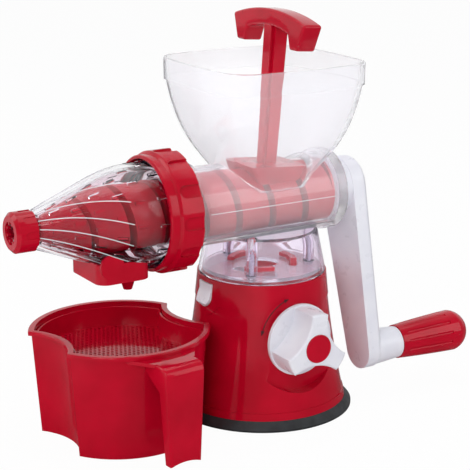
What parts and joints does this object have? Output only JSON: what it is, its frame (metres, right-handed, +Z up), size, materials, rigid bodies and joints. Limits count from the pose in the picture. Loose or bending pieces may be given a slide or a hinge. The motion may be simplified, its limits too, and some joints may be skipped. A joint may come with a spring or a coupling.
{
  "type": "manual wheatgrass juicer",
  "caption": "Hand-cranked auger juicer on a suction foot: square clear hopper with pusher, clear barrel and nose, lock ring, crank with grip, and a red cup with a strainer basket.",
  "frame": {"origin": "middle of the suction foot's underside, on the table", "axes": "+X along the barrel to the crank, -X to the pulp outlet, -Y to the suction knob, +Z up"},
  "size_m": [0.3513, 0.1452, 0.2826],
  "materials": {
    "red_plastic": "glossy moulded, crimson",
    "white_plastic": "glossy moulded, white",
    "clear_plastic": "clear polished plastic",
    "black_rubber": "matt",
    "soft_gasket": "matt, translucent white",
    "steel": "plated"
  },
  "bodies": {
    "base": {"suction_rim": "black_rubber", "base_plate": "white_plastic", "base_screws": "steel", "base_shell": "red_plastic", "base_deck": "red_plastic"},
    "suction": {"suction_membrane": "black_rubber", "suction_stem": "white_plastic"},
    "knob": {"knob_shaft": "white_plastic", "suction_knob": "white_plastic", "knob_disc": "red_plastic", "knob_screw": "steel"},
    "tab": {"release_tab": "white_plastic"},
    "upper": {"stand_skirt": "clear_plastic", "bayonet_plate": "clear_plastic", "bayonet_screws": "steel", "barrel": "clear_plastic", "rear_bush": "white_plastic", "hopper": "clear_plastic"},
    "crank": {"auger": "red_plastic", "crank_arm": "white_plastic", "crank_screw": "steel", "grip_pin": "steel", "grip_washer": "steel"},
    "grip": {"grip_sleeve": "red_plastic", "grip_end_cap": "red_plastic"},
    "pusher": {"pusher": "red_plastic"},
    "nose": {"nose_cone": "clear_plastic", "nose_gasket": "soft_gasket", "strainer_cone": "clear_plastic", "juice_spout": "red_plastic"},
    "ring": {"lock_ring": "red_plastic"},
    "pulp_cap": {"pulp_cap": "red_plastic"},
    "cup": {"juice_cup": "red_plastic"},
    "basket": {"cup_strainer": "red_plastic"}
  },
  "joints": [
    {"name": "knob_turn", "type": "hinge", "parent": "base", "child": "knob", "pos_m": [0, -0.05, 0.06025], "axis": [0, -1, 0], "range_deg": [0, 90]},
    {"name": "suction_lift", "type": "slide", "parent": "base", "child": "suction", "axis": [0, 0, 1], "range_m": [0, 0.004]},
    {"name": "tab_press", "type": "slide", "parent": "base", "child": "tab", "axis": [1, 0, 0], "range_m": [0, 0.003], "stiffness_N_per_m": 600},
    {"name": "upper_twist", "type": "hinge", "parent": "base", "child": "upper", "pos_m": [0, 0, 0.0993], "axis": [0, 0, 1], "range_deg": [0, 22]},
    {"name": "crank_turn", "type": "hinge", "parent": "upper", "child": "crank", "pos_m": [0, 0, 0.1517], "axis": [1, 0, 0], "continuous": true},
    {"name": "grip_spin", "type": "hinge", "parent": "crank", "child": "grip", "pos_m": [0.12, -0.03058, 0.03514], "axis": [1, 0, 0], "continuous": true},
    {"name": "pusher_slide", "type": "slide", "parent": "upper", "child": "pusher", "axis": [0.0837, 0, 0.9965], "range_m": [0, 0.095]},
    {"name": "nose_pull", "type": "slide", "parent": "upper", "child": "nose", "axis": [-1, 0, 0], "range_m": [0, 0.12]},
    {"name": "ring_turn", "type": "hinge", "parent": "nose", "child": "ring", "pos_m": [-0.082, 0, 0.1517], "axis": [1, 0, 0], "range_deg": [0, 60]},
    {"name": "cap_turn", "type": "hinge", "parent": "nose", "child": "pulp_cap", "pos_m": [-0.183, 0, 0.1517], "axis": [1, 0, 0], "range_deg": [0, 90]},
    {"name": "cup_pull", "type": "slide", "parent": "base", "child": "cup", "axis": [-1, 0, 0], "range_m": [0, 0.12]},
    {"name": "basket_lift", "type": "slide", "parent": "cup", "child": "basket", "axis": [0, 0, 1], "range_m": [0, 0.025]}
  ],
  "couplings": [
    {"joint": "suction_lift", "follows": "knob_turn", "m_per_rad": 0.0025465}
  ]
}
